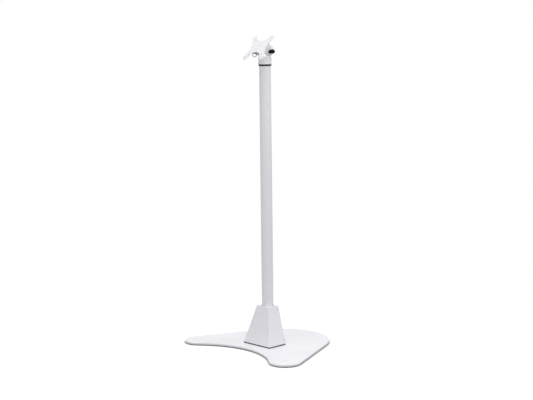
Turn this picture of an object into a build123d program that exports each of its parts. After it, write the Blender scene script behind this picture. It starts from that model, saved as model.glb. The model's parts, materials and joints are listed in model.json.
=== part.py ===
from build123d import *
from math import acos, atan2, cos, degrees, radians, sin, sqrt, tan
import os

# Adjustable tablet floor stand: steel foot, round pole, sheet cover over the pole's foot, and a head
# that swivels on the pole, tilts on a knob-clamped pivot and turns a cross-shaped plate in its plane.
# Millimetres. +Z is up, the plate faces -Y, and the origin is the middle of the footprint on the floor.

# Fits and clearances
running = 0.05
gap = 0.3
overrun = 5.0

# Foot plate: a round back, two round front corners and a hollow front, all tangent to one another
base_thickness = 8.0
base_edge_radius = 2.5
back_radius = 210.0
back_setback = 80.0
corner_radius = 67.0
corner_reach = 265.0
corner_advance = 160.0
hollow_advance = 127.0
floor_hole_radius = 3.5
rear_hole_inset = 32.0

# Rubber feet under the foot plate
foot_height = 4.0
foot_radius = 12.0
foot_recess_radius = 6.0
foot_taper = 6.0
foot_screw_head = 1.6
foot_screw_head_radius = 3.6
foot_screw_radius = 1.9
foot_screw_length = 8.0
foot_inset = 28.0

# Pole
pole_radius = 25.0
pole_wall = 2.0
pole_cable_hole_radius = 9.0
pole_cable_hole_height = 95.0

# Flange that bolts to the foot plate, with a spigot that the pole slides over
flange_thickness = 6.0
flange_half_width = 58.0
flange_front = 52.0
flange_back = 22.0
flange_corner_radius = 8.0
spigot_height = 40.0
spigot_wall = 3.5
bolt_radius = 4.0
bolt_head_radius = 8.0
bolt_reach = 43.0
bolt_front = 38.0
bolt_back = 9.0
grub_height = 24.0
grub_head_radius = 4.5
grub_head_height = 2.4
grub_radius = 2.5
grub_angles = (-55, -125)
socket_share = 0.7

# Folded sheet cover round the pole's foot
sheet = 1.5
trim_height = 5.0
trim_width = 3.2
trim_inset = 0.5
cover_height = 161.0
cover_foot_half_width = 80.0
cover_foot_front = 70.0
cover_top_half_width = 37.5
cover_top_front = 31.0
cover_back = 27.5
cover_bend_radius = 3.0
cover_slot_clearance = 1.2
cover_lip = 14.0
cover_screw_inset = 6.5
cover_screw_low = 16.0
cover_screw_top_inset = 16.0
cover_screw_head_radius = 3.6
cover_screw_head_height = 1.6
cover_screw_radius = 1.9
cable_notch_radius = 9.0
cable_notch_reach = 50.0

# Swivel at the pole's top
ring_middle = 1210.0
ring_height = 7.0
ring_radius = 27.25
ring_edge_radius = 1.0
bush_wall = 2.0
bush_length = 18.0
insert_length = 42.0
spindle_radius = 10.0
spindle_bore = 6.5
spindle_head_radius = 16.0
spindle_head_height = 4.0
spring_washer_height = 2.0
spring_washer_radius = 17.0
spindle_nut_height = 8.0
spindle_nut_radius = 17.0
spindle_tail = 2.0

# Post of the head
post_radius = 28.25
post_wall = 2.5
post_floor = 5.0
post_height = 28.0
post_rim_height = 6.0
post_rim = 0.6
cable_slot_width = 18.0
cable_slot_height = 10.0
cable_slot_rise = 17.0
grommet_wall = 1.2
grommet_stand = 0.8

# Fork on the post, with the two lugs that carry the tilt pivot
fork_thickness = 4.0
fork_edge_chamfer = 1.5
fork_cable_hole_radius = 9.0
pivot_rise = 56.5
lug_outside = 24.0
lug_thickness = 4.0
lug_radius = 13.0
lug_foot = 11.0
sleeve_radius = 7.0

# Tilt bracket: a folded U whose cheeks hang on the pivot and whose web carries the plate
rest_tilt = 37.0
friction_washer = 1.0
friction_washer_radius = 12.0
bracket_sheet = 3.0
cheek_radius = 22.0
cheek_rise = 5.3
cheek_flare_angle = 23.5
web_back = 32.5
bracket_bend_radius = 3.0
bracket_corner_radius = 6.0

# Pivot bolt and its clamping knob
pivot_radius = 3.0
pivot_washer = 1.5
pivot_washer_radius = 7.0
pivot_head_radius = 6.0
pivot_head_height = 4.0
pivot_tail = 9.0
knob_neck_radius = 4.5
knob_neck_length = 2.5
knob_shoulder = 6.5
knob_radius = 9.0
knob_reach = 48.5
knob_flutes = 8
knob_flute_radius = 1.8
knob_flute_depth = 0.7
knob_insert_radius = 4.0
knob_insert_length = 12.0

# Cross plate and the hub it turns on
plate_drop = 8.8
plate_thickness = 3.0
plate_tip_reach = 50.0
plate_tip_radius = 12.3
plate_side_waist = 45.5
plate_top_waist = 34.5
plate_bottom_waist = 24.0
plate_edge_radius = 0.6
large_pattern = 100.0
small_pattern = 75.0
pattern_hole_radius = 2.6
hub_flange_radius = 18.0
hub_flange = 2.0
hub_radius = 6.0
hub_flat = 4.5
hub_washer = 1.0
rear_washer = 7.0
hub_washer_radius = 18.0
rear_washer_radius = 9.5
index_radius = 10.0
index_thickness = 3.0
index_notches = 4
notch_depth = 2.0
hub_nut_height = 4.5
hub_nut_radius = 8.5
hub_tail = 1.0
hub_screw_circle = 12.0
hub_screw_radius = 2.0
hub_screw_head_radius = 3.6
hub_screws = 3

# Sprung plunger that locks the plate's turn, drawn back by a ring
plunger_side = 21.0
plunger_low = 28.0
plunger_body_radius = 4.5
plunger_body_start = 11.0
plunger_body_length = 9.0
plunger_end_wall = 1.2
plunger_bore = 2.2
plunger_pin_radius = 1.5
plunger_stem_radius = 0.9
plunger_collar = 1.2
plunger_travel = 2.5
spring_wire_radius = 0.25
spring_turns = 3
eye_radius = 2.6
eye_thickness = 1.8
eye_hole_radius = 1.4
pull_ring_radius = 8.1
pull_ring_wire = 1.1
pull_ring_turn = 56.0

# Heights and places that follow from the sizes above
base_top = foot_height + base_thickness
pole_foot = base_top + flange_thickness
pole_bore = pole_radius - pole_wall
pole_top = ring_middle - ring_height / 2
post_foot = ring_middle + ring_height / 2
post_top = post_foot + post_height
fork_top = post_top + fork_thickness
corner_front = corner_advance + corner_radius
corner_back = back_radius + back_setback
pole_y = (corner_front - corner_back) / 2
cover_foot = base_top + trim_height
cover_top = cover_foot + cover_height
pivot = Vector(0, pole_y, ring_middle + pivot_rise)
sideways = Vector(1, 0, 0)
facing = Vector(0, -cos(radians(rest_tilt)), sin(radians(rest_tilt)))
web_front = web_back + bracket_sheet
hub_back = web_front + hub_washer
plate_back = hub_back + hub_flange
plate_front = plate_back + plate_thickness
index_front = web_back - rear_washer
index_back = index_front - index_thickness


def forward(distance):
    """The Y of a place that lies this far in front of the pole's axis."""
    return pole_y - distance


def level(height):
    """A level plane on the pole's axis."""
    return Plane(origin=(0, pole_y, height))


def tilted(reach, drop=0):
    """A plane parallel to the cross plate, this far from the pivot and lowered along itself by drop."""
    seat = Plane(origin=pivot, x_dir=sideways, z_dir=facing).offset(reach)
    return Plane(origin=seat.from_local_coords((0, -drop, 0)), x_dir=sideways, z_dir=facing)


def across(side, lean=facing):
    """A plane across the pivot at this X, with its own x along lean and its normal towards -X."""
    return Plane(origin=pivot + sideways * side, x_dir=lean, z_dir=-sideways)


def tangent_arc(reach, advance, radius, depth):
    """Radius of the arc that passes through depth on the middle line and touches both corner arcs."""
    rise = depth - advance
    return (reach**2 + rise**2 - radius**2) / (2 * (radius - rise))


def disc(plane, radius, height, bore=0):
    """A round disc or a ring, standing on the plane."""
    with BuildPart() as piece:
        with BuildSketch(plane):
            Circle(radius)
            if bore:
                Circle(bore, mode=Mode.SUBTRACT)
        extrude(amount=height)
    return piece.part


def hexagon(plane, radius, height, bore=0):
    """A hexagon head or nut, standing on the plane."""
    with BuildPart() as piece:
        with BuildSketch(plane):
            RegularPolygon(radius, 6)
            if bore:
                Circle(bore, mode=Mode.SUBTRACT)
        extrude(amount=height)
    return piece.part


def screw(plane, head_radius, head_height, radius, length):
    """A screw with a domed head on the plane, a hexagon socket in it and a shank below."""
    with BuildPart() as piece:
        with BuildSketch(plane):
            Circle(head_radius)
        extrude(amount=head_height)
        fillet(piece.edges().sort_by(Axis(plane.origin, plane.z_dir))[-1], head_height / 2)
        add(hexagon(plane.offset(head_height), radius * socket_share, -head_height / 2), mode=Mode.SUBTRACT)
        add(disc(plane, radius, -length))
    return piece.part


def radial(angle, height, reach):
    """A plane that faces outwards from the pole's axis at this height, this far from the axis."""
    outwards = Vector(cos(radians(angle)), sin(radians(angle)), 0)
    along = Vector(-sin(radians(angle)), cos(radians(angle)), 0)
    return Plane(origin=Vector(0, pole_y, height) + outwards * reach, x_dir=along, z_dir=outwards)


def finish(part, name):
    """Names a finished piece and writes it."""
    part.label = name
    export_step(part, f"parts/{name}.step")


# Foot plate
hollow = tangent_arc(corner_reach, corner_advance, corner_radius, hollow_advance)
hollow_centre = hollow_advance + hollow
corner_depth = corner_advance + back_setback
corner_turn = acos((back_radius - corner_radius) / sqrt(corner_reach**2 + corner_depth**2))
side_angle = degrees(corner_turn - atan2(corner_depth, corner_reach))
hollow_angle = degrees(atan2(hollow_centre - corner_advance, corner_reach))
bolt_places = [
    (side * bolt_reach, forward(place)) for side in (-1, 1) for place in (bolt_front, -bolt_back)
]
floor_hole_places = [
    (-corner_reach, forward(corner_advance)),
    (corner_reach, forward(corner_advance)),
    (0, forward(rear_hole_inset - corner_back)),
]
foot_angles = [side_angle, (90 + side_angle) / 2, 180 - (90 + side_angle) / 2, 180 - side_angle]
foot_places = [
    (side * corner_reach, forward(corner_front - foot_inset)) for side in (-1, 1)
] + [
    (
        (back_radius - foot_inset) * cos(radians(angle)),
        forward(-back_setback) + (back_radius - foot_inset) * sin(radians(angle)),
    )
    for angle in foot_angles
]


def countersink(place, clearance=0):
    """The cone of a flange bolt's head, from the foot plate's underside upwards."""
    with BuildPart() as cone:
        with BuildSketch(Plane(origin=(*place, foot_height))):
            Circle(bolt_head_radius + clearance)
        with BuildSketch(Plane(origin=(*place, foot_height + bolt_head_radius - bolt_radius))):
            Circle(bolt_radius + clearance)
        loft()
    return cone.part


with BuildPart() as base_plate:
    with BuildSketch(Plane.XY.offset(foot_height)):
        with BuildLine():
            back = CenterArc((0, forward(-back_setback)), back_radius, 90, side_angle - 90)
            corner = CenterArc(
                (corner_reach, forward(corner_advance)),
                corner_radius,
                side_angle,
                hollow_angle - 180 - side_angle,
            )
            Line(back @ 1, corner @ 0)
            CenterArc((0, forward(hollow_centre)), hollow, hollow_angle, 90 - hollow_angle)
            mirror(about=Plane.YZ)
        make_face()
    extrude(amount=base_thickness)
    top_rim = base_plate.faces().sort_by(Axis.Z)[-1].edges()
    fillet(top_rim, radius=base_edge_radius)
    with BuildSketch(Plane.XY.offset(base_top)):
        with Locations(*floor_hole_places):
            Circle(floor_hole_radius)
        with Locations(*bolt_places):
            Circle(bolt_radius + running)
    extrude(amount=-base_thickness, mode=Mode.SUBTRACT)
    for place in foot_places:
        hole_foot = Plane(origin=(*place, foot_height))
        add(disc(hole_foot, foot_screw_radius, foot_screw_length - foot_height / 2), mode=Mode.SUBTRACT)
    for place in bolt_places:
        add(countersink(place, running), mode=Mode.SUBTRACT)
finish(base_plate.part, "base_plate")

# Rubber feet and their screws
with BuildPart() as base_feet:
    with BuildSketch(Plane.XY):
        with Locations(*foot_places):
            Circle(foot_radius)
    extrude(amount=foot_height, taper=foot_taper)
    for place in foot_places:
        add(disc(Plane(origin=place), foot_recess_radius, foot_height / 2), mode=Mode.SUBTRACT)
        add(disc(Plane(origin=place), foot_screw_radius, foot_height), mode=Mode.SUBTRACT)
finish(base_feet.part, "base_feet")

with BuildPart() as foot_screws:
    for place in foot_places:
        seat = Plane(origin=(*place, foot_height / 2), z_dir=(0, 0, -1))
        add(screw(seat, foot_screw_head_radius, foot_screw_head, foot_screw_radius, foot_screw_length))
finish(foot_screws.part, "foot_screws")

# Flange with the spigot that the pole slides over
with BuildPart() as pole_flange:
    with BuildSketch(Plane.XY.offset(base_top)):
        with Locations((0, forward((flange_front - flange_back) / 2))):
            RectangleRounded(2 * flange_half_width, flange_front + flange_back, flange_corner_radius)
    extrude(amount=flange_thickness)
    add(disc(level(pole_foot), pole_bore - running, spigot_height))
    spigot_bore = disc(level(base_top), pole_bore - spigot_wall, flange_thickness + spigot_height)
    add(spigot_bore, mode=Mode.SUBTRACT)
    chamfer(pole_flange.edges().group_by(Axis.Z)[-1].sort_by(SortBy.LENGTH)[-1], spigot_wall / 4)
    with BuildSketch(Plane.XY.offset(base_top)):
        with Locations(*bolt_places):
            Circle(bolt_radius)
    extrude(amount=flange_thickness, mode=Mode.SUBTRACT)
    for angle in grub_angles:
        add(disc(radial(angle, pole_foot + grub_height, 0), grub_radius, pole_radius), mode=Mode.SUBTRACT)
finish(pole_flange.part, "pole_flange")

with BuildPart() as flange_bolts:
    for place in bolt_places:
        add(countersink(place))
        foot = Plane(origin=(*place, foot_height))
        add(disc(foot, bolt_radius, base_thickness + flange_thickness))
        add(hexagon(foot, bolt_radius * socket_share, bolt_radius / 2), mode=Mode.SUBTRACT)
finish(flange_bolts.part, "flange_bolts")

# Pole
with BuildPart() as pole_tube:
    add(disc(level(pole_foot), pole_radius, pole_top - pole_foot, pole_bore))
    for angle in grub_angles:
        middle = radial(angle, pole_foot + grub_height, 0)
        add(disc(middle, grub_radius + running, pole_radius + overrun), mode=Mode.SUBTRACT)
    exit_hole = disc(radial(-90, pole_cable_hole_height, 0), pole_cable_hole_radius, pole_radius + overrun)
    add(exit_hole, mode=Mode.SUBTRACT)
finish(pole_tube.part, "pole_tube")

with BuildPart() as grub_screws:
    for angle in grub_angles:
        seat = radial(angle, pole_foot + grub_height, pole_radius)
        add(screw(seat, grub_head_radius, grub_head_height, grub_radius, pole_wall + spigot_wall))
finish(grub_screws.part, "grub_screws")


# Sheet cover
def cover_half_width(height):
    """Half the cover's width at this height above its foot."""
    return cover_foot_half_width + (cover_top_half_width - cover_foot_half_width) * height / cover_height


def cover_front(height):
    """How far the cover's front lies before the pole's axis at this height above its foot."""
    return cover_foot_front + (cover_top_front - cover_foot_front) * height / cover_height


def frustum(inset, back, low=0, high=cover_height):
    """The cover's sloping form, drawn in from its front and sides, with its upright rear face at back."""
    with BuildPart() as body:
        for height in (low, high):
            half_width = cover_half_width(height) - inset
            with BuildSketch(Plane.XY.offset(cover_foot + height)):
                Polygon(
                    (-half_width, forward(back)),
                    (half_width, forward(back)),
                    (half_width, forward(cover_front(height) - inset)),
                    (-half_width, forward(cover_front(height) - inset)),
                    align=None,
                )
        loft()
        slanted = body.edges().filter_by(lambda edge: edge.bounding_box().size.Z > (high - low) / 2)
        fillet(slanted.sort_by(Axis.Y)[:2], max(cover_bend_radius - inset, sheet / 2))
    return body.part


side_lean = Vector(cover_height, 0, cover_foot_half_width - cover_top_half_width).normalized()


def cover_screw_seat(side, height):
    """A plane on the cover's side face that faces outwards, where a screw sits near the rear edge."""
    reach = side * cover_half_width(height)
    place = (reach, forward(cover_screw_inset - cover_back), cover_foot + height)
    return Plane(origin=place, x_dir=(0, 1, 0), z_dir=(side * side_lean.X, 0, side_lean.Z))


cover_screw_heights = (cover_screw_low, cover_height - cover_screw_top_inset)
cover_screw_seats = [
    cover_screw_seat(side, height) for side in (-1, 1) for height in cover_screw_heights
]

with BuildPart() as cover_shell:
    add(frustum(0, -cover_back))
    add(frustum(sheet, -cover_back - overrun, -overrun, cover_height - sheet), mode=Mode.SUBTRACT)
    with BuildSketch(Plane.XY.offset(cover_top)):
        with Locations((0, pole_y)):
            Circle(pole_radius + cover_slot_clearance)
        with Locations((0, forward(-cover_back))):
            Rectangle(2 * (pole_radius + cover_slot_clearance), 2 * cover_back)
    extrude(amount=-2 * sheet, mode=Mode.SUBTRACT)
    for seat in cover_screw_seats:
        add(disc(seat, cover_screw_radius + running, -2 * sheet), mode=Mode.SUBTRACT)
finish(cover_shell.part, "cover_shell")

with BuildPart() as cover_panel:
    inner = sheet + running
    add(frustum(inner, -cover_back, 0, cover_height - sheet - gap))
    add(frustum(inner + sheet, sheet - cover_back, -overrun, cover_height + overrun), mode=Mode.SUBTRACT)
    with BuildSketch(Plane.XY.offset(cover_foot)):
        with Locations((0, forward(cover_lip - cover_back))):
            Rectangle(4 * cover_foot_half_width, 4 * cover_foot_front, align=(Align.CENTER, Align.MAX))
    extrude(amount=cover_height, mode=Mode.SUBTRACT)
    notch_middle = (-cable_notch_reach, forward(-cover_back), cover_foot)
    with BuildSketch(Plane(origin=notch_middle, z_dir=(0, 1, 0))):
        Circle(cable_notch_radius)
    extrude(amount=sheet + overrun, both=True, mode=Mode.SUBTRACT)
    for seat in cover_screw_seats:
        add(disc(seat, cover_screw_radius, -4 * sheet), mode=Mode.SUBTRACT)
finish(cover_panel.part, "cover_panel")

with BuildPart() as cover_screws:
    for seat in cover_screw_seats:
        add(screw(seat, cover_screw_head_radius, cover_screw_head_height, cover_screw_radius, 3 * sheet))
finish(cover_screws.part, "cover_screws")

with BuildPart() as cover_trim:
    for inset, mode in ((trim_inset, Mode.ADD), (trim_inset + trim_width, Mode.SUBTRACT)):
        with BuildSketch(Plane.XY.offset(base_top)):
            with Locations((0, forward(inset - cover_back))):
                Rectangle(
                    2 * (cover_foot_half_width - inset),
                    cover_foot_front + cover_back - 2 * inset,
                    align=(Align.CENTER, Align.MAX),
                )
        extrude(amount=trim_height, mode=mode)
    with BuildSketch(Plane.XY.offset(base_top)):
        with Locations((-cable_notch_reach, forward(-cover_back))):
            Rectangle(2 * cable_notch_radius, 2 * trim_width + 2 * trim_inset)
    extrude(amount=trim_height, mode=Mode.SUBTRACT)
finish(cover_trim.part, "cover_trim")

# Fixed half of the swivel, in and on the pole's top
with BuildPart() as pole_insert:
    add(disc(level(pole_top), pole_bore - running, -insert_length, spindle_radius + running))
    add(disc(level(pole_top), spindle_radius + bush_wall + running, -bush_length), mode=Mode.SUBTRACT)
finish(pole_insert.part, "pole_insert")

with BuildPart() as swivel_ring:
    add(disc(level(pole_top), ring_radius, ring_height))
    fillet(swivel_ring.edges(), ring_edge_radius)
    add(disc(level(pole_top), spindle_radius + bush_wall, -bush_length))
    bore = disc(level(post_foot), spindle_radius + running, -ring_height - bush_length)
    add(bore, mode=Mode.SUBTRACT)
finish(swivel_ring.part, "swivel_ring")

# Turning half of the swivel
with BuildPart() as swivel_spindle:
    seat = level(post_foot + post_floor)
    clamped = post_floor + ring_height + insert_length + spring_washer_height
    reach = clamped + spindle_nut_height + spindle_tail
    add(disc(seat, spindle_head_radius, spindle_head_height))
    chamfer(swivel_spindle.edges().group_by(Axis.Z)[-1], spindle_head_height / 4)
    add(disc(seat, spindle_radius, -reach))
    bore = disc(seat.offset(-reach), spindle_bore, reach + spindle_head_height)
    add(bore, mode=Mode.SUBTRACT)
finish(swivel_spindle.part, "swivel_spindle")

insert_foot = pole_top - insert_length
with BuildPart() as spring_washer:
    add(disc(level(insert_foot), spring_washer_radius, -spring_washer_height, spindle_radius + running))
finish(spring_washer.part, "spring_washer")

with BuildPart() as spindle_nut:
    nut_top = level(insert_foot - spring_washer_height)
    add(hexagon(nut_top, spindle_nut_radius, -spindle_nut_height, spindle_radius))
finish(spindle_nut.part, "spindle_nut")

# Post of the head
with BuildPart() as head_post:
    inside = post_radius - post_wall
    with BuildSketch(Plane(origin=(0, pole_y, 0), z_dir=(0, -1, 0), x_dir=sideways)):
        Polygon(
            (spindle_radius + running, post_foot),
            (post_radius + post_rim, post_foot),
            (post_radius + post_rim, post_foot + post_rim_height - post_rim),
            (post_radius, post_foot + post_rim_height),
            (post_radius, post_top),
            (inside, post_top),
            (inside, post_foot + post_floor),
            (spindle_radius + running, post_foot + post_floor),
            align=None,
        )
    revolve(axis=Axis((0, pole_y, 0), (0, 0, 1)))
    with BuildSketch(radial(90, post_foot + cable_slot_rise, 0)):
        SlotOverall(cable_slot_width, cable_slot_height)
    extrude(amount=post_radius + overrun, mode=Mode.SUBTRACT)
finish(head_post.part, "head_post")

with BuildPart() as post_grommet:
    with BuildSketch(radial(90, post_foot + cable_slot_rise, post_radius - post_wall - grommet_stand)):
        SlotOverall(cable_slot_width, cable_slot_height)
        inner_width = cable_slot_width - 2 * grommet_wall
        SlotOverall(inner_width, cable_slot_height - 2 * grommet_wall, mode=Mode.SUBTRACT)
    extrude(amount=post_wall + 2 * grommet_stand)
finish(post_grommet.part, "post_grommet")

# Fork that carries the tilt pivot
half_inside = lug_outside - lug_thickness
cheek_inside = lug_outside + friction_washer
cheek_outside = cheek_inside + bracket_sheet
with BuildPart() as head_fork:
    add(disc(level(post_top), post_radius, fork_thickness, fork_cable_hole_radius))
    chamfer(head_fork.edges().group_by(Axis.Z)[-1].sort_by(SortBy.LENGTH)[-1], fork_edge_chamfer)
    lug_drop = pivot.Z - fork_top
    for side in (lug_outside, -half_inside):
        with BuildSketch(across(side, Vector(0, -1, 0))):
            Circle(lug_radius)
            Polygon(
                (-lug_radius, 0), (-lug_foot, -lug_drop), (lug_foot, -lug_drop), (lug_radius, 0), align=None
            )
            Circle(pivot_radius + running, mode=Mode.SUBTRACT)
        extrude(amount=lug_thickness)
finish(head_fork.part, "head_fork")

with BuildPart() as pivot_sleeve:
    add(disc(across(half_inside), sleeve_radius, 2 * half_inside, pivot_radius + running))
finish(pivot_sleeve.part, "pivot_sleeve")

# Tilt bracket, folded from sheet
flare = radians(cheek_flare_angle)
flare_start = (-cheek_radius * sin(flare), cheek_rise - cheek_radius * cos(flare))
web_bottom = flare_start[1] - (web_front - flare_start[0]) * tan(flare)
web_top = cheek_rise + cheek_radius
with BuildPart() as tilt_bracket:
    with BuildSketch(across(cheek_outside)):
        with Locations((0, cheek_rise)):
            Circle(cheek_radius)
        Polygon(
            flare_start,
            (web_front, web_bottom),
            (web_front, web_top),
            (0, web_top),
            (0, cheek_rise),
            align=None,
        )
    extrude(amount=2 * cheek_outside)
    bends = tilt_bracket.faces().sort_by(Axis(pivot, facing))[-1].edges().sort_by(Axis.X)
    fillet([bends[0], bends[-1]], bracket_bend_radius)
    with BuildSketch(across(cheek_inside)):
        Rectangle(2 * web_back, 4 * (web_top - web_bottom))
    extrude(amount=2 * cheek_inside, mode=Mode.SUBTRACT)
    with BuildSketch(across(cheek_outside)):
        Circle(pivot_radius + running)
    extrude(amount=2 * cheek_outside, mode=Mode.SUBTRACT)
    add(disc(tilted(web_back, plate_drop), hub_radius + running, bracket_sheet), mode=Mode.SUBTRACT)
finish(tilt_bracket.part, "tilt_bracket")

with BuildPart() as friction_washers:
    for side in (cheek_inside, -lug_outside):
        add(disc(across(side), friction_washer_radius, friction_washer, pivot_radius + running))
finish(friction_washers.part, "friction_washers")

with BuildPart() as pivot_washers:
    for side in (cheek_outside + pivot_washer, -cheek_outside):
        add(disc(across(side), pivot_washer_radius, pivot_washer, pivot_radius + running))
finish(pivot_washers.part, "pivot_washers")

bolt_head_side = -cheek_outside - pivot_washer
bolt_length = 2 * (cheek_outside + pivot_washer) + pivot_tail
with BuildPart() as pivot_bolt:
    add(hexagon(across(bolt_head_side), pivot_head_radius, pivot_head_height))
    add(disc(across(bolt_head_side), pivot_radius, -bolt_length))
    chamfer(pivot_bolt.edges().sort_by(Axis.X)[-1], pivot_radius / 4)
finish(pivot_bolt.part, "pivot_bolt")

# Clamping knob
knob_seat = cheek_outside + pivot_washer + gap
with BuildPart() as tilt_knob:
    with BuildSketch(Plane(origin=pivot, x_dir=sideways, z_dir=(0, -1, 0))):
        with Locations((knob_reach, 0)):
            Circle(knob_radius)
        Polygon(
            (knob_seat, 0),
            (knob_seat, knob_neck_radius),
            (knob_seat + knob_neck_length, knob_neck_radius),
            (knob_seat + knob_shoulder, knob_radius),
            (knob_reach, knob_radius),
            (knob_reach, 0),
            align=None,
        )
        with Locations((knob_reach, 0)):
            Rectangle(4 * knob_radius, 2 * knob_radius, align=(Align.CENTER, Align.MAX), mode=Mode.SUBTRACT)
    revolve(axis=Axis(pivot, sideways))
    with BuildSketch(across(knob_reach + knob_radius)):
        with PolarLocations(knob_radius + knob_flute_radius - knob_flute_depth, knob_flutes):
            Circle(knob_flute_radius)
    extrude(amount=2 * knob_radius, mode=Mode.SUBTRACT)
    add(disc(across(knob_seat), knob_insert_radius, -knob_insert_length), mode=Mode.SUBTRACT)
finish(tilt_knob.part, "tilt_knob")

with BuildPart() as knob_insert:
    add(disc(across(knob_seat), knob_insert_radius, -knob_insert_length, pivot_radius + running))
finish(knob_insert.part, "knob_insert")


# Cross plate
def plate_scoop(waist):
    """Radius, centre and end angle of the plate's edge that comes this close to its middle."""
    radius = tangent_arc(plate_tip_reach, plate_tip_reach, plate_tip_radius, waist)
    centre = waist + radius
    return radius, centre, degrees(atan2(centre - plate_tip_reach, plate_tip_reach))


side_scoop = plate_scoop(plate_side_waist)
top_scoop = plate_scoop(plate_top_waist)
bottom_scoop = plate_scoop(plate_bottom_waist)
scoops = [side_scoop, top_scoop, side_scoop, bottom_scoop, side_scoop]
tip_centre = (plate_tip_reach, plate_tip_reach)
aside = Mode.PRIVATE
with BuildPart() as cross_plate:
    with BuildSketch(tilted(plate_back, plate_drop)):
        with BuildLine():
            for turn in range(4):
                quarter = Rotation(0, 0, 90 * turn)
                last_angle = scoops[turn][2]
                radius, centre, angle = scoops[turn + 1]
                tip_turn = 270 - last_angle - angle
                tip = CenterArc(tip_centre, plate_tip_radius, last_angle - 90, tip_turn, mode=aside)
                edge = CenterArc((0, centre), radius, -angle, 2 * angle - 180, mode=aside)
                add([quarter * tip, quarter * edge])
        make_face()
    extrude(amount=plate_thickness)
    rims = cross_plate.faces().sort_by(Axis(pivot, facing))
    fillet(rims[-1].edges() + rims[0].edges(), plate_edge_radius)
    plate_face = tilted(plate_front, plate_drop)
    with BuildSketch(plate_face):
        with GridLocations(large_pattern, large_pattern, 2, 2):
            Circle(pattern_hole_radius)
        with GridLocations(small_pattern, small_pattern, 2, 2):
            Circle(pattern_hole_radius)
    extrude(amount=-plate_thickness, mode=Mode.SUBTRACT)
    with Locations(plate_face):
        with PolarLocations(hub_screw_circle, hub_screws):
            CounterSinkHole(hub_screw_radius + running, hub_screw_head_radius + running, plate_thickness)
finish(cross_plate.part, "cross_plate")

# Hub of the plate, its washers and its nut
with BuildPart() as plate_hub:
    add(disc(tilted(hub_back, plate_drop), hub_flange_radius, hub_flange))
    add(disc(tilted(hub_back, plate_drop), hub_radius, index_front - hub_back))
    with BuildSketch(tilted(index_front, plate_drop)):
        Circle(hub_radius)
        Rectangle(2 * hub_radius, 2 * hub_flat, mode=Mode.INTERSECT)
    extrude(amount=-index_thickness - hub_nut_height - hub_tail)
    with BuildSketch(tilted(plate_back, plate_drop)):
        with PolarLocations(hub_screw_circle, hub_screws):
            Circle(hub_screw_radius)
    extrude(amount=-hub_flange, mode=Mode.SUBTRACT)
finish(plate_hub.part, "plate_hub")

with BuildPart() as hub_screw_set:
    with Locations(tilted(plate_front, plate_drop)):
        with PolarLocations(hub_screw_circle, hub_screws):
            head_height = hub_screw_head_radius - hub_screw_radius
            bottom = (Align.CENTER, Align.CENTER, Align.MAX)
            Cone(hub_screw_radius, hub_screw_head_radius, head_height, align=bottom)
            Cylinder(hub_screw_radius, plate_thickness + hub_flange, align=bottom)
finish(hub_screw_set.part, "hub_screws")

with BuildPart() as front_hub_washer:
    add(disc(tilted(web_front, plate_drop), hub_washer_radius, hub_washer, hub_radius + running))
finish(front_hub_washer.part, "front_hub_washer")

with BuildPart() as rear_hub_washer:
    add(disc(tilted(index_front, plate_drop), rear_washer_radius, rear_washer, hub_radius + running))
finish(rear_hub_washer.part, "rear_hub_washer")

plunger_angle = degrees(atan2(-plunger_low, -plunger_side))
with BuildPart() as index_disc:
    with BuildSketch(tilted(index_back, plate_drop)):
        Circle(index_radius)
        with PolarLocations(index_radius, index_notches, start_angle=plunger_angle):
            Rectangle(2 * notch_depth, 2 * (plunger_pin_radius + running), mode=Mode.SUBTRACT)
        with BuildSketch(mode=Mode.SUBTRACT):
            Circle(hub_radius + running)
            Rectangle(2 * (hub_radius + running), 2 * (hub_flat + running), mode=Mode.INTERSECT)
    extrude(amount=index_thickness)
finish(index_disc.part, "index_disc")

with BuildPart() as hub_nut:
    add(hexagon(tilted(index_back, plate_drop), hub_nut_radius, -hub_nut_height, hub_radius))
finish(hub_nut.part, "hub_nut")

# Index plunger: it points at the hub from the lower left, on a saddle behind the web
hub_seat = tilted((index_front + index_back) / 2, plate_drop)
outwards = (
    hub_seat.x_dir * cos(radians(plunger_angle)) + hub_seat.y_dir * sin(radians(plunger_angle))
).normalized()
plunger_end = plunger_body_start + plunger_body_length


def along_plunger(reach):
    """A plane across the plunger, this far from the hub's axis, with its own x towards the plate."""
    return Plane(origin=hub_seat.origin + outwards * reach, x_dir=facing, z_dir=outwards)


chamber_start = plunger_body_start + plunger_end_wall
chamber_end = plunger_end - plunger_end_wall
with BuildPart() as plunger_body:
    with BuildSketch(along_plunger(plunger_body_start)):
        Circle(plunger_body_radius)
        saddle_height = web_back - (index_front + index_back) / 2
        Rectangle(saddle_height, 2 * plunger_body_radius, align=(Align.MIN, Align.CENTER))
    extrude(amount=plunger_body_length)
    pin_bore = disc(along_plunger(plunger_body_start), plunger_pin_radius + running, plunger_end_wall)
    add(pin_bore, mode=Mode.SUBTRACT)
    chamber = disc(along_plunger(chamber_start), plunger_bore, chamber_end - chamber_start)
    add(chamber, mode=Mode.SUBTRACT)
    stem_bore = disc(along_plunger(chamber_end), plunger_stem_radius + running, plunger_end_wall)
    add(stem_bore, mode=Mode.SUBTRACT)
finish(plunger_body.part, "plunger_body")

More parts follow.
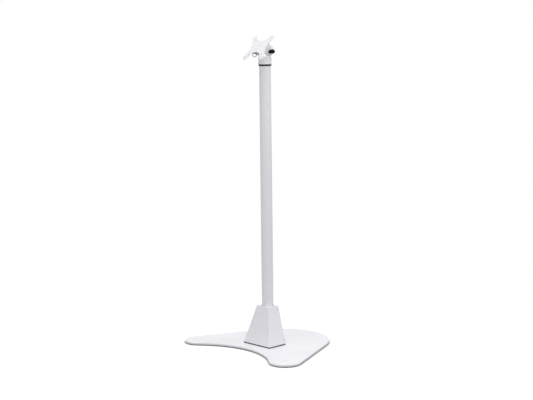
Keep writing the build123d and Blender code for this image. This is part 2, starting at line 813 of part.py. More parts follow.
pin_tip = index_radius - notch_depth + gap + plunger_travel
collar_start = chamber_start + gap + plunger_travel
collar_end = collar_start + plunger_collar
eye_reach = plunger_end + gap + plunger_travel + eye_radius
ring_lean = radians(pull_ring_turn)
ring_normal = facing * cos(ring_lean) - outwards.cross(facing) * sin(ring_lean)
wire_way = ring_normal.cross(outwards)
eye_centre = hub_seat.origin + outwards * eye_reach
eye_side = Plane(origin=eye_centre - wire_way * (eye_thickness / 2), x_dir=outwards, z_dir=wire_way)
with BuildPart() as plunger_pin:
    add(disc(along_plunger(pin_tip), plunger_pin_radius, collar_start - pin_tip))
    chamfer(plunger_pin.edges().sort_by(Axis(hub_seat.origin, outwards))[0], plunger_pin_radius / 4)
    add(disc(along_plunger(collar_start), plunger_bore - running, plunger_collar))
    add(disc(along_plunger(collar_end), plunger_stem_radius, eye_reach - collar_end))
    add(disc(eye_side, eye_radius, eye_thickness))
    add(disc(eye_side, eye_hole_radius, eye_thickness), mode=Mode.SUBTRACT)
finish(plunger_pin.part, "plunger_pin")

spring_height = chamber_end - collar_end - 2 * spring_wire_radius
spring_radius = (plunger_bore + plunger_stem_radius) / 2
with BuildPart() as plunger_spring:
    with BuildLine() as coil:
        Helix(
            spring_height / spring_turns,
            spring_height,
            spring_radius,
            center=hub_seat.origin + outwards * (collar_end + spring_wire_radius),
            direction=outwards,
        )
    with BuildSketch(Plane(origin=coil.line @ 0, z_dir=coil.line % 0)):
        Circle(spring_wire_radius)
    sweep()
finish(plunger_spring.part, "plunger_spring")

ring_centre = eye_centre + outwards * pull_ring_radius
with BuildPart(Plane(origin=ring_centre, x_dir=outwards, z_dir=ring_normal)) as pull_ring:
    Torus(pull_ring_radius, pull_ring_wire)
finish(pull_ring.part, "pull_ring")
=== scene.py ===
"""Looks of the adjustable tablet floor stand: finishes, small fitted pieces, studio and camera."""
import json
from math import atan2, cos, hypot, pi, radians, sin, tan

import bmesh
import bpy
from mathutils import Matrix, Vector


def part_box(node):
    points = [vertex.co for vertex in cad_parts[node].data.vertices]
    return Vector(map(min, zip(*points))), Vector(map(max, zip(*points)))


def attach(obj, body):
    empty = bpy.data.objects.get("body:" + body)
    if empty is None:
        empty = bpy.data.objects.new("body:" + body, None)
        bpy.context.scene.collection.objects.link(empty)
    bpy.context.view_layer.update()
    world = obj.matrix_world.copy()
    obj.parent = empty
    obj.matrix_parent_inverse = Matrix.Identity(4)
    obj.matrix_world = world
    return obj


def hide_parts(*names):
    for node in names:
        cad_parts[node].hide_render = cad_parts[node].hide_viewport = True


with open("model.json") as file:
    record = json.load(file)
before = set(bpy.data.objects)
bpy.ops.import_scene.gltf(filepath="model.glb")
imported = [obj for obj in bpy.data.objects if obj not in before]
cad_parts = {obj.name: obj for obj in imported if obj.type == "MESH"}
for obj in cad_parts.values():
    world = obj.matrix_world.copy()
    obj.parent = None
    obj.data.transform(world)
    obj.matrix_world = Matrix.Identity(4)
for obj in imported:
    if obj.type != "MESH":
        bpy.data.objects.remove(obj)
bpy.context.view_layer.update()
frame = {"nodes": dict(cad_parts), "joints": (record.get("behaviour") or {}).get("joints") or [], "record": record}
nodes = frame["nodes"]
joints = {joint["name"]: joint for joint in frame["joints"]}
slot_of = {row["node"]: row["material_slot"] for row in frame["record"]["subparts"]}

# Places and directions of the stand's own parts, read from the frame
MM = 0.001
UPWARDS = Vector((0, 0, 1))
SIDEWAYS = Vector((1, 0, 0))
MERGE = 0.002 * MM
swivel = Vector(joints["head_swivel"]["pos_m"])
pivot = Vector(joints["head_tilt"]["pos_m"])
plate_middle = Vector(joints["plate_turn"]["pos_m"])
facing = Vector(joints["plate_turn"]["axis"]).normalized()
pull_way = Vector(joints["lock_pull"]["axis"]).normalized()


# Finishes. Every pattern reads Object coordinates, so it stays with its piece.
class Finish:
    """A node material built step by step."""

    def __init__(self, name):
        self.material = bpy.data.materials.new(name)
        self.material.use_nodes = True
        tree = self.material.node_tree
        self.nodes, self.links = tree.nodes, tree.links
        self.shader = self.nodes["Principled BSDF"]
        self.place = self.nodes.new("ShaderNodeTexCoord").outputs["Object"]
        self.height = None

    def put(self, kind, **values):
        """Adds a node, with sockets or settings given by name."""
        node = self.nodes.new("ShaderNode" + kind)
        for key, value in values.items():
            if key in node.inputs:
                node.inputs[key].default_value = value
            else:
                setattr(node, key, value)
        return node

    def join(self, output, socket):
        self.links.new(output, socket)

    def set(self, **values):
        """Even numbers of the shader itself."""
        for key, value in values.items():
            self.shader.inputs[key.replace("_", " ")].default_value = value

    def grain(self, scale, detail=2.0, stretch=(1, 1, 1), roughness=0.5):
        """Cloudy noise of this many cells a metre."""
        turn = self.put("Mapping", Scale=stretch)
        noise = self.put("TexNoise", Scale=scale, Detail=detail, Roughness=roughness)
        self.join(self.place, turn.inputs["Vector"])
        self.join(turn.outputs["Vector"], noise.inputs["Vector"])
        return noise.outputs["Fac"]

    def spread(self, value, low, high, start=0.3, end=0.7):
        """Maps a value between two numbers."""
        limits = {"From Min": start, "From Max": end, "To Min": low, "To Max": high}
        mapped = self.put("MapRange", **limits)
        self.join(value, mapped.inputs["Value"])
        return mapped.outputs["Result"]

    def colour(self, value, dark, light, start=0.3, end=0.7):
        """Base colour between two tones."""
        ramp = self.put("ValToRGB")
        for stop, place, tone in zip(ramp.color_ramp.elements, (start, end), (dark, light)):
            stop.position = place
            stop.color = (*tone, 1)
        self.join(value, ramp.inputs["Fac"])
        self.join(ramp.outputs["Color"], self.shader.inputs["Base Color"])

    def rough(self, value, low, high):
        self.join(self.spread(value, low, high), self.shader.inputs["Roughness"])

    def bump(self, value, depth, strength=1.0):
        """Adds relief of this depth in metres to what is there."""
        relief = self.put("Bump", Strength=strength, Distance=depth)
        self.join(value, relief.inputs["Height"])
        if self.height:
            self.join(self.height, relief.inputs["Normal"])
        self.height = relief.outputs["Normal"]
        self.join(self.height, self.shader.inputs["Normal"])


def powder_coat():
    """White polyester powder: a fine even orange peel under a satin gloss."""
    coat = Finish("white_powder_coat")
    coat.colour(coat.grain(9.0, 3.0), (0.836, 0.836, 0.880), (0.862, 0.862, 0.905))
    coat.rough(coat.grain(60.0), 0.36, 0.46)
    coat.bump(coat.grain(260.0, 1.0), 0.00006, 0.5)
    coat.bump(coat.grain(1100.0, 2.0), 0.00003, 0.5)
    coat.set(Specular_IOR_Level=0.5)
    return coat.material


def black_rubber():
    """Moulded rubber with a dusty matt skin."""
    rubber = Finish("black_rubber")
    rubber.colour(rubber.grain(180.0, 4.0), (0.018, 0.018, 0.019), (0.034, 0.034, 0.035))
    rubber.rough(rubber.grain(90.0), 0.68, 0.85)
    rubber.bump(rubber.grain(1600.0, 2.0), 0.00006, 0.5)
    rubber.set(Specular_IOR_Level=0.35)
    return rubber.material


def black_plastic():
    """Moulded plastic with a fine spark-eroded grain."""
    plastic = Finish("black_plastic")
    plastic.colour(plastic.grain(120.0, 3.0), (0.004, 0.004, 0.0045), (0.007, 0.007, 0.0075))
    plastic.rough(plastic.grain(300.0), 0.36, 0.46)
    plastic.bump(plastic.grain(2200.0, 1.0), 0.00004, 0.5)
    plastic.set(Specular_IOR_Level=0.13)
    return plastic.material


def turned_steel():
    """Bare steel with turning marks round the upright axis."""
    steel = Finish("turned_steel")
    steel.colour(steel.grain(60.0, 3.0), (0.42, 0.42, 0.43), (0.56, 0.56, 0.565))
    steel.rough(steel.grain(240.0, 2.0, (1, 1, 5)), 0.25, 0.45)
    steel.bump(steel.grain(500.0, 2.0, (1, 1, 8)), 0.00004, 0.4)
    steel.set(Metallic=1.0)
    return steel.material


def zinc_plate():
    """Bright zinc on drawn wire and screws."""
    zinc = Finish("zinc_plate")
    zinc.colour(zinc.grain(140.0, 4.0), (0.52, 0.53, 0.55), (0.66, 0.67, 0.68))
    zinc.rough(zinc.grain(400.0, 3.0), 0.24, 0.42)
    zinc.bump(zinc.grain(1500.0, 3.0), 0.00003, 0.4)
    zinc.set(Metallic=1.0)
    return zinc.material


def black_nickel():
    """Dark nickel on the plunger's pin and its ring."""
    nickel = Finish("black_nickel")
    nickel.colour(nickel.grain(160.0, 4.0), (0.045, 0.045, 0.048), (0.070, 0.070, 0.073))
    nickel.rough(nickel.grain(500.0, 3.0), 0.30, 0.44)
    nickel.bump(nickel.grain(1500.0, 3.0), 0.00003, 0.4)
    nickel.set(Metallic=1.0)
    return nickel.material


def white_screw():
    """White lacquer over a countersunk screw."""
    lacquer = Finish("white_screw_lacquer")
    lacquer.colour(lacquer.grain(200.0, 2.0), (0.80, 0.80, 0.82), (0.85, 0.85, 0.87))
    lacquer.rough(lacquer.grain(500.0), 0.3, 0.4)
    lacquer.bump(lacquer.grain(1800.0), 0.00003, 0.4)
    return lacquer.material


def turned_brass():
    """Brass of the knob's insert."""
    brass = Finish("turned_brass")
    brass.colour(brass.grain(160.0, 3.0), (0.56, 0.38, 0.15), (0.72, 0.52, 0.24))
    brass.rough(brass.grain(600.0), 0.22, 0.38)
    brass.bump(brass.grain(2500.0, 2.0, (6, 1, 1)), 0.00003, 0.4)
    brass.set(Metallic=1.0)
    return brass.material


finishes = {
    "powder_coat": powder_coat(),
    "black_rubber": black_rubber(),
    "black_plastic": black_plastic(),
    "plain_steel": turned_steel(),
    "zinc_steel": zinc_plate(),
    "dark_steel": black_nickel(),
    "white_screws": white_screw(),
    "brass": turned_brass(),
}
for name, node in nodes.items():
    node.data.materials.clear()
    node.data.materials.append(finishes[slot_of[name]])


# Ways of making the fitted pieces
def standing(origin, ahead, across):
    """Places a shape made round Z at this origin, with Z turned to ahead and X near across."""
    ahead = ahead.normalized()
    side = (across - ahead * across.dot(ahead)).normalized()
    return Matrix.Translation(origin) @ Matrix((side, ahead.cross(side), ahead)).transposed().to_4x4()


def turned(profile, steps=72):
    """A shape turned round Z from a closed row of (radius, height) corners."""
    shape = bmesh.new()
    corners = [shape.verts.new((radius, 0, height)) for radius, height in profile]
    sides = zip(corners, corners[1:] + corners[:1])
    edges = [shape.edges.new(side) for side in sides if max(corner.co.x for corner in side) > MERGE]
    bmesh.ops.spin(
        shape, geom=corners + edges, cent=(0, 0, 0), axis=(0, 0, 1),
        angle=2 * pi, steps=steps, use_merge=True,
    )
    bmesh.ops.remove_doubles(shape, verts=shape.verts, dist=MERGE)
    bmesh.ops.dissolve_degenerate(shape, edges=shape.edges, dist=MERGE)
    bmesh.ops.recalc_face_normals(shape, faces=shape.faces)
    return shape


def arc(middle, radius, start, end, steps):
    """Corners along an arc in the (radius, height) plane, with angles in degrees."""
    turns = [radians(start + (end - start) * step / steps) for step in range(steps + 1)]
    return [(middle[0] + radius * cos(turn), middle[1] + radius * sin(turn)) for turn in turns]


def rod(path, radius, sides=12):
    """A round bar bent along a row of points, with one radius or one for each point."""
    line = bpy.data.curves.new("bar", "CURVE")
    line.dimensions = "3D"
    line.bevel_depth = 1.0
    line.bevel_resolution = sides // 4
    line.use_fill_caps = True
    spline = line.splines.new("POLY")
    spline.points.add(len(path) - 1)
    for index, (point, place) in enumerate(zip(spline.points, path)):
        point.co = (*place, 1)
        point.radius = radius[index] if isinstance(radius, list) else radius
    holder = bpy.data.objects.new("bar", line)
    mesh = bpy.data.meshes.new_from_object(holder)
    bpy.data.objects.remove(holder)
    shape = bmesh.new()
    shape.from_mesh(mesh)
    bpy.data.meshes.remove(mesh)
    bmesh.ops.remove_doubles(shape, verts=shape.verts, dist=MERGE)
    bmesh.ops.recalc_face_normals(shape, faces=shape.faces)
    return shape


def joined(shapes):
    """Several shapes as one."""
    whole = bmesh.new()
    for shape in shapes:
        mesh = bpy.data.meshes.new("share")
        shape.to_mesh(mesh)
        shape.free()
        whole.from_mesh(mesh)
        bpy.data.meshes.remove(mesh)
    return whole


def merged_copy(node):
    """A CAD node's shape with its loose triangles joined up."""
    shape = bmesh.new()
    shape.from_mesh(nodes[node].data)
    bmesh.ops.remove_doubles(shape, verts=shape.verts, dist=MERGE)
    return shape


def solids_of(node):
    """The middle of the box round each separate solid of a CAD node."""
    shape = merged_copy(node)
    waiting = set(shape.verts)
    middles = []
    while waiting:
        found = [waiting.pop()]
        for corner in found:
            for edge in corner.link_edges:
                other = edge.other_vert(corner)
                if other in waiting:
                    waiting.remove(other)
                    found.append(other)
        spans = [[corner.co[axis] for corner in found] for axis in range(3)]
        middles.append(Vector([(min(span) + max(span)) / 2 for span in spans]))
    shape.free()
    return sorted(middles, key=lambda middle: tuple(middle))


def measures(node, middle, way):
    """A CAD node's lowest and highest place along an axis, and its least and greatest reach from it."""
    steps = [corner.co - middle for corner in nodes[node].data.vertices]
    places = [step.dot(way) for step in steps]
    reaches = [(step - way * place).length for step, place in zip(steps, places)]
    return min(places), max(places), min(reaches), max(reaches)


def fitted(name, shape, body, slot, *stands_for, sharp=35):
    """Makes a shape a finished piece that rides on a body."""
    mesh = bpy.data.meshes.new(name)
    shape.to_mesh(mesh)
    shape.free()
    mesh.shade_smooth()
    mesh.set_sharp_from_angle(angle=radians(sharp))
    mesh.materials.append(finishes[slot])
    piece = bpy.data.objects.new(name, mesh)
    bpy.context.scene.collection.objects.link(piece)
    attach(piece, body)
    if stands_for:
        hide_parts(*stands_for)
    return piece


# Clamping knob: a fluted barrel with a round end, on a short neck, with a bore for its insert
KNOB_NECK_RADIUS = 4.5 * MM
KNOB_NECK_LENGTH = 2.5 * MM
KNOB_SHOULDER = 6.5 * MM
KNOB_BORE = 4.0 * MM
KNOB_BORE_DEPTH = 12.0 * MM
KNOB_EDGE = 0.3 * MM
KNOB_ROUNDING = 2.0 * MM
KNOB_ROWS = (0.5, 0.65, 0.8, 0.9)  # rows of corners along the barrel, as shares of its length
KNOB_STEPS = 144
KNOB_FLUTES = 8
FLUTE_DEPTH = 0.8 * MM
FLUTE_SHARPNESS = 1.5


def clamping_knob():
    """The knob, with its flutes fading out over the shoulder and the round end."""
    low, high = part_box("tilt_knob")
    radius = (high.z - low.z) / 2
    middle = high.x - low.x - radius
    shoulder = radius - KNOB_ROUNDING
    profile = [
        (KNOB_BORE, 0),
        (KNOB_NECK_RADIUS - KNOB_EDGE, 0),
        (KNOB_NECK_RADIUS, KNOB_EDGE),
        (KNOB_NECK_RADIUS, KNOB_NECK_LENGTH),
        (KNOB_NECK_RADIUS + KNOB_EDGE, KNOB_NECK_LENGTH + KNOB_EDGE),
    ]
    profile += arc((shoulder, KNOB_SHOULDER + KNOB_EDGE), KNOB_ROUNDING, -45, 0, 6)
    profile += [(radius, middle * row) for row in KNOB_ROWS]
    profile += arc((0, middle), radius, 0, 90, 20)
    profile += [(0, KNOB_BORE_DEPTH), (KNOB_BORE, KNOB_BORE_DEPTH)]
    shape = turned(profile, KNOB_STEPS)
    for corner in shape.verts:
        reach = hypot(corner.co.x, corner.co.y)
        if reach <= shoulder:
            continue
        wave = max(0.0, cos(KNOB_FLUTES * atan2(corner.co.y, corner.co.x))) ** FLUTE_SHARPNESS
        share = (reach - shoulder) / KNOB_ROUNDING
        scale = 1 - FLUTE_DEPTH * wave * share / reach
        corner.co.x *= scale
        corner.co.y *= scale
    shape.transform(standing(Vector((low.x, pivot.y, pivot.z)), SIDEWAYS, UPWARDS))
    fitted("clamping_knob", shape, "knob", "black_plastic", "tilt_knob")


# Pull ring: one turn of thick wire whose ends meet, through the eye of the plunger's pin
RING_TURN = radians(56)
RING_WIRE = 1.25 * MM
RING_JOINT = 0.25 * MM
RING_STEPS = 96


def pull_wire():
    """The ring, which takes its place and size from the CAD ring that it stands for."""
    low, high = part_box("pull_ring")
    lean = facing * cos(RING_TURN) - pull_way.cross(facing) * sin(RING_TURN)
    middle = (low + high) / 2
    inner, outer = measures("pull_ring", middle, lean)[2:]
    radius = (inner + outer) / 2
    joint = RING_JOINT / radius
    path = []
    for step in range(RING_STEPS + 1):
        angle = joint / 2 + (2 * pi - joint) * step / RING_STEPS
        path.append((radius * cos(angle), radius * sin(angle), 0))
    shape = rod(path, RING_WIRE, 20)
    shape.transform(standing(middle, lean, pull_way))
    fitted("pull_wire", shape, "lock", "dark_steel", "pull_ring", sharp=60)


# Screws, bolts and nuts with sockets and chamfered hexagons
def hexagon_reach(flat, turn):
    """How far a hexagon's edge lies from its middle in this direction."""
    sixth = pi / 3
    return flat / cos((turn + sixth / 2) % sixth - sixth / 2)


def socketed(shape, socket, depth):
    """Gives a turned head's round recess six sides."""
    for corner in shape.verts:
        reach = hypot(corner.co.x, corner.co.y)
        if abs(reach - socket) < MERGE and corner.co.z > -depth - MERGE:
            scale = hexagon_reach(socket * cos(pi / 6), atan2(corner.co.y, corner.co.x)) / reach
            corner.co.x *= scale
            corner.co.y *= scale
    return shape


def hexagonal(shape, flat, height):
    """Cuts a turned head down to a hexagon, with its chamfer rising to the flats."""
    slope = tan(radians(30))
    for corner in shape.verts:
        reach = hypot(corner.co.x, corner.co.y)
        limit = hexagon_reach(flat, atan2(corner.co.y, corner.co.x)) if reach > MERGE else reach
        if reach > limit + MERGE:
            corner.co.x *= limit / reach
            corner.co.y *= limit / reach
            if corner.co.z > height / 2:
                corner.co.z = height - (limit - flat) * slope
    bmesh.ops.remove_doubles(shape, verts=shape.verts, dist=MERGE)
    bmesh.ops.dissolve_degenerate(shape, edges=shape.edges, dist=MERGE)
    return shape


PLATE_SCREW_HEAD = 3.55 * MM
PLATE_SCREW_EDGE = 0.1 * MM
PLATE_SCREW_SHANK = 2.0 * MM
PLATE_SCREW_LENGTH = 5.0 * MM
PLATE_SCREW_SOCKET = 1.45 * MM
PLATE_SOCKET_DEPTH = 1.6 * MM
PLATE_SOCKET_POINT = 0.3 * MM
PLATE_SCREW_SINK = 0.15 * MM


def plate_screws():
    """Countersunk screws that hold the plate to its hub."""
    cone = PLATE_SCREW_HEAD - PLATE_SCREW_SHANK
    shapes = []
    for middle in solids_of("hub_screws"):
        shape = turned([
            (PLATE_SCREW_SOCKET, -PLATE_SCREW_SINK),
            (PLATE_SCREW_HEAD - PLATE_SCREW_EDGE, -PLATE_SCREW_SINK),
            (PLATE_SCREW_HEAD, -PLATE_SCREW_SINK - PLATE_SCREW_EDGE),
            (PLATE_SCREW_SHANK, -cone - PLATE_SCREW_SINK),
            (PLATE_SCREW_SHANK, -PLATE_SCREW_LENGTH),
            (0, -PLATE_SCREW_LENGTH),
            (0, -PLATE_SOCKET_DEPTH - PLATE_SOCKET_POINT),
            (PLATE_SCREW_SOCKET, -PLATE_SOCKET_DEPTH),
        ])
        socketed(shape, PLATE_SCREW_SOCKET, PLATE_SOCKET_DEPTH)
        top = middle - facing * (middle - plate_middle).dot(facing)
        shape.transform(standing(top, facing, SIDEWAYS))
        shapes.append(shape)
    fitted("plate_screws", joined(shapes), "plate", "white_screws", "hub_screws")


HEX_CHAMFER = 0.25 * MM
HEX_ROW = 0.6  # row of corners on the flats, as a share of the height
TILT_BOLT_RADIUS = 3.0 * MM
THREAD_PITCH = 1.0 * MM
THREAD_DEPTH = 0.3 * MM


def hex_blank(flat, height):
    """Outer corners of the turned blank of a nut or a bolt's head, from its seat upwards."""
    corner = flat / cos(pi / 6)
    return [
        (flat - HEX_CHAMFER, 0),
        (corner, HEX_CHAMFER),
        (corner, height * HEX_ROW),
        (corner, height),
        (flat, height),
    ]


def ridges(radius, start, end):
    """Corners of a thread's crests and roots, from start up to end."""
    count = int((end - start) / THREAD_PITCH)
    corners = []
    for turn in range(count):
        foot = start + turn * THREAD_PITCH
        corners += [(radius - THREAD_DEPTH, foot), (radius, foot + THREAD_PITCH / 2)]
    return corners + [(radius - THREAD_DEPTH, start + count * THREAD_PITCH)]


def tilt_bolt():
    """The hexagon-headed bolt that the head tilts on, threaded where it enters the knob."""
    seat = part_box("pivot_washers")[0].x
    low, high, _, corner = measures("pivot_bolt", Vector((seat, pivot.y, pivot.z)), -SIDEWAYS)
    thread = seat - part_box("tilt_knob")[0].x
    flat = corner * cos(pi / 6)
    profile = [(0, low), (TILT_BOLT_RADIUS - 2 * THREAD_DEPTH, low)]
    profile += ridges(TILT_BOLT_RADIUS, low + THREAD_DEPTH, thread)
    profile += [(TILT_BOLT_RADIUS, thread + THREAD_PITCH), (TILT_BOLT_RADIUS, 0)]
    profile += hex_blank(flat, high) + [(0, high)]
    shape = hexagonal(turned(profile), flat, high)
    shape.transform(standing(Vector((seat, pivot.y, pivot.z)), -SIDEWAYS, UPWARDS))
    fitted("tilt_bolt", shape, "bracket", "zinc_steel", "pivot_bolt", sharp=12)


def hub_nut():
    """The chamfered nut that holds the plate's hub."""
    low, high, bore, corner = measures("hub_nut", plate_middle, -facing)
    flat = corner * cos(pi / 6)
    height = high - low
    profile = [(bore + HEX_CHAMFER, 0)] + hex_blank(flat, height)
    profile += [(bore + HEX_CHAMFER, height), (bore, height - HEX_CHAMFER), (bore, HEX_CHAMFER)]
    shape = hexagonal(turned(profile), flat, height)
    shape.transform(standing(plate_middle - facing * low, -facing, SIDEWAYS))
    fitted("plate_nut", shape, "plate", "zinc_steel", "hub_nut", sharp=12)


clamping_knob()
pull_wire()
plate_screws()
tilt_bolt()
hub_nut()


# Sheet and plate parts of the head, with their cut edges rounded as the coat leaves them
CUT_EDGE = 0.35 * MM
FLAT_ANGLE = radians(0.5)
CORNER_ANGLE = radians(50)


def softened(node, body, name):
    """A CAD node's shape with its sharp corners rounded over."""
    shape = merged_copy(node)
    bmesh.ops.dissolve_limit(shape, angle_limit=FLAT_ANGLE, verts=shape.verts, edges=shape.edges)
    edges = [edge for edge in shape.edges if edge.is_manifold and edge.calc_face_angle() > CORNER_ANGLE]
    bmesh.ops.bevel(
        shape, geom=edges, offset=CUT_EDGE, affect="EDGES", segments=3,
        profile=0.5, material=-1, clamp_overlap=True,
    )
    bmesh.ops.triangulate(shape, faces=shape.faces)
    fitted(name, shape, body, "powder_coat", node)


softened("tilt_bracket", "bracket", "folded_bracket")
softened("head_fork", "head", "welded_fork")


# Rubber feet: tapered discs with two grooves underneath and a recess for the screw
FOOT_RADIUS = 12.0 * MM
FOOT_RECESS = 6.0 * MM
FOOT_SCREW = 1.9 * MM
FOOT_TAPER = 0.42 * MM
FOOT_LIP = 0.4 * MM
GROOVE_MIDDLES = (7.9 * MM, 9.9 * MM)
GROOVE_DEPTH = 0.5 * MM
GROOVE_WIDTH = 0.9 * MM


def grooved_feet():
    """All the feet under the foot plate, as one piece."""
    low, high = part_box("base_feet")
    height = high.z - low.z
    half = GROOVE_WIDTH / 2
    profile = [
        (FOOT_SCREW, height / 2),
        (FOOT_RECESS - FOOT_LIP, height / 2),
        (FOOT_RECESS, height / 2 - FOOT_LIP),
        (FOOT_RECESS, FOOT_LIP),
        (FOOT_RECESS + FOOT_LIP, 0),
    ]
    for middle in GROOVE_MIDDLES:
        profile += [
            (middle - half, 0),
            (middle - half / 2, GROOVE_DEPTH),
            (middle + half / 2, GROOVE_DEPTH),
            (middle + half, 0),
        ]
    profile += [
        (FOOT_RADIUS - 1.5 * FOOT_LIP, 0),
        (FOOT_RADIUS, 1.5 * FOOT_LIP),
        (FOOT_RADIUS - FOOT_TAPER, height),
        (FOOT_SCREW, height),
    ]
    shapes = []
    for middle in solids_of("base_feet"):
        shape = turned(profile)
        shape.transform(Matrix.Translation((middle.x, middle.y, low.z)))
        shapes.append(shape)
    fitted("grooved_feet", joined(shapes), "stand", "black_rubber", "base_feet")


grooved_feet()


# Weld beads under the white coat, with the ripple of the torch
BEAD_RADIUS = 0.75 * MM
BEAD_START = 0.55  # radius at the two ends, as a share of the full radius
BEAD_STEP = 0.35 * MM
BEAD_HALF_LENGTH = 9.5 * MM
BEAD_LEVEL = 4.0 * MM  # above the fork's underside
LUG_INSET = 1.0 * MM  # from the friction washers' outer sides in to the lugs
RIPPLE_DEPTH = 0.07
RIPPLE_RATE = 4.2 / MM  # radians a metre


def bead(start, end):
    """A straight weld bead between two points, thinner where it starts and stops."""
    way = end - start
    count = int(way.length / BEAD_STEP)
    path, radii = [], []
    for step in range(count + 1):
        share = step / count
        ends = min(1.0, 6 * share, 6 * (1 - share)) ** 0.5
        ripple = 1 + RIPPLE_DEPTH * sin(way.length * share * RIPPLE_RATE)
        path.append(start + way * share)
        radii.append(BEAD_RADIUS * (BEAD_START + (1 - BEAD_START) * ends) * ripple)
    return rod(path, radii, 12)


def lug_beads():
    """Beads along both sides of each lug's foot."""
    sleeve_low, sleeve_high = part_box("pivot_sleeve")
    washer_low, washer_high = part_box("friction_washers")
    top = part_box("head_fork")[0].z + BEAD_LEVEL
    beads = []
    for side in (sleeve_low.x, washer_low.x + LUG_INSET, sleeve_high.x, washer_high.x - LUG_INSET):
        start = Vector((side, pivot.y - BEAD_HALF_LENGTH, top))
        beads.append(bead(start, start + Vector((0, 2 * BEAD_HALF_LENGTH, 0))))
    fitted("lug_beads", joined(beads), "head", "powder_coat", sharp=80)


lug_beads()


# Studio: a pale floor that keeps the stand's shadow, a plain white surround and soft lamps
FLOOR_SIZE = 14.0
FLOOR_TONE = 0.60
FLOOR_EXTRA = 0.60
PAINTED_SHADE_REACH = 25 * MM
PAINTED_SHADE_OPEN = (0.5, 0.95)  # openness at which the painted contact shade ends and the open floor starts
STAND_RADIUS = 0.55
FADE_RADIUS = 1.6


def studio_floor():
    """The camera sees it lighter in the open than at the stand's contact line, where an ambient-occlusion mask
    paints shade, and white far out.
    """
    floor = bpy.data.meshes.new("studio_floor")
    shape = bmesh.new()
    bmesh.ops.create_grid(shape, x_segments=1, y_segments=1, size=FLOOR_SIZE)
    shape.to_mesh(floor)
    shape.free()
    plane = bpy.data.objects.new("studio_floor", floor)
    bpy.context.scene.collection.objects.link(plane)
    paint = Finish("studio_floor")
    paint.set(Base_Color=(FLOOR_TONE, FLOOR_TONE, FLOOR_TONE, 1), Roughness=0.9, Specular_IOR_Level=0.0)
    path = paint.put("LightPath")
    # Painted contact shade: the camera-only extra brightness is dimmed where ambient occlusion finds the stand
    # close by
    painted_contact_shade = paint.put("AmbientOcclusion", Distance=PAINTED_SHADE_REACH, samples=8)
    shaded_extra = paint.put("Math", operation="MULTIPLY")
    shaded_extra.inputs[1].default_value = FLOOR_EXTRA
    paint.join(paint.spread(painted_contact_shade.outputs["AO"], 0.0, 1.0, *PAINTED_SHADE_OPEN), shaded_extra.inputs[0])
    extra = paint.put("BsdfDiffuse")
    paint.join(shaded_extra.outputs[0], extra.inputs["Color"])
    lit = paint.put("AddShader")
    paint.join(paint.shader.outputs[0], lit.inputs[0])
    paint.join(extra.outputs[0], lit.inputs[1])
    seen = paint.put("MixShader")
    paint.join(path.outputs["Is Camera Ray"], seen.inputs[0])
    paint.join(paint.shader.outputs[0], seen.inputs[1])
    paint.join(lit.outputs[0], seen.inputs[2])
    reach = paint.put("VectorMath", operation="LENGTH")
    paint.join(paint.place, reach.inputs[0])
    far = paint.put("Math", operation="MULTIPLY")
    fade = paint.spread(reach.outputs["Value"], 0.0, 1.0, STAND_RADIUS, FADE_RADIUS)
    paint.join(fade, far.inputs[0])
    paint.join(path.outputs["Is Camera Ray"], far.inputs[1])
    white = paint.put("Emission", Strength=1.0)
    whole = paint.put("MixShader")
    paint.join(far.outputs[0], whole.inputs[0])
    paint.join(seen.outputs[0], whole.inputs[1])
    paint.join(white.outputs[0], whole.inputs[2])
    paint.join(whole.outputs[0], paint.nodes["Material Output"].inputs["Surface"])
    floor.materials.append(paint.material)


def surround(light):
    """An even white world that the camera, metal and glass see at full strength."""
    world = bpy.data.worlds.new("surround")
    bpy.context.scene.world = world
    world.use_nodes = True
    tree = world.node_tree
    sky = tree.nodes["Background"]
    path = tree.nodes.new("ShaderNodeLightPath")
    seen = path.outputs["Is Camera Ray"]
    for kind in ("Is Glossy Ray", "Is Transmission Ray"):
        either = tree.nodes.new("ShaderNodeMath")
        either.operation = "MAXIMUM"
        tree.links.new(seen, either.inputs[0])
        tree.links.new(path.outputs[kind], either.inputs[1])
        seen = either.outputs[0]
    level = tree.nodes.new("ShaderNodeMapRange")
    level.inputs["To Min"].default_value = light
    level.inputs["To Max"].default_value = 1.0
    tree.links.new(seen, level.inputs["Value"])
    sky.inputs["Color"].default_value = (1, 1, 1, 1)
    tree.links.new(level.outputs["Result"], sky.inputs["Strength"])


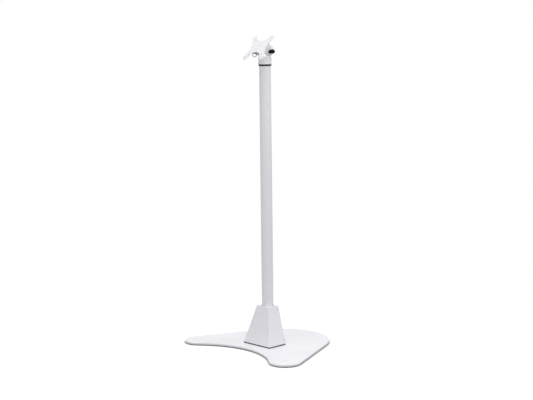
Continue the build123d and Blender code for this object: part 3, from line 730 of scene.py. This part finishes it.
def soft_lamp(name, place, aim, width, power):
    """A square area lamp of this width in metres and power in watts."""
    lamp = bpy.data.lights.new(name, "AREA")
    lamp.shape = "SQUARE"
    lamp.size = width
    lamp.energy = power
    holder = bpy.data.objects.new(name, lamp)
    bpy.context.scene.collection.objects.link(holder)
    holder.location = place
    holder.rotation_euler = (Vector(aim) - Vector(place)).to_track_quat("-Z", "Y").to_euler()


studio_floor()
surround(0.40)
soft_lamp("lamp_above", (1.0, -1.4, 9.0), (0, 0, 0.4), 4.0, 330)
soft_lamp("lamp_front", (-0.6, -4.4, 2.4), (0, 0, 0.6), 1.5, 18)
soft_lamp("lamp_left", (-3.8, 0.2, 2.4), (0, 0, 0.8), 1.5, 20)
soft_lamp("lamp_behind", (3.0, 2.4, 2.8), (0, 0, 0.8), 1.5, 28)
soft_lamp("lamp_near", (1.35, -0.55, 2.0), (0, 0, 1.1), 0.5, 7)


# Camera at the photograph's viewing angle
AZIMUTH = radians(45.97)
PITCH = 0.119254
ROLL = -0.011519
DISTANCE = 4.77624
EYE_HEIGHT = 1.20918
FOCAL_LENGTH = 75.9
SENSOR_WIDTH = 36.0


def camera():
    """The camera fitted to the pole, the cover's corners and the horizon."""
    ahead = Vector((-sin(AZIMUTH) * cos(PITCH), cos(AZIMUTH) * cos(PITCH), -sin(PITCH)))
    level_right = Vector((cos(AZIMUTH), sin(AZIMUTH), 0))
    level_up = level_right.cross(ahead)
    right = level_right * cos(ROLL) + level_up * sin(ROLL)
    up = right.cross(ahead)
    lens = bpy.data.cameras.new("camera")
    lens.sensor_fit = "HORIZONTAL"
    lens.sensor_width = SENSOR_WIDTH
    lens.lens = FOCAL_LENGTH
    eye = bpy.data.objects.new("camera", lens)
    bpy.context.scene.collection.objects.link(eye)
    place = Vector((DISTANCE * sin(AZIMUTH), swivel.y - DISTANCE * cos(AZIMUTH), EYE_HEIGHT))
    eye.matrix_world = Matrix.Translation(place) @ Matrix((right, up, -ahead)).transposed().to_4x4()
    bpy.context.scene.camera = eye


camera()
bpy.context.scene.view_settings.view_transform = "Standard"
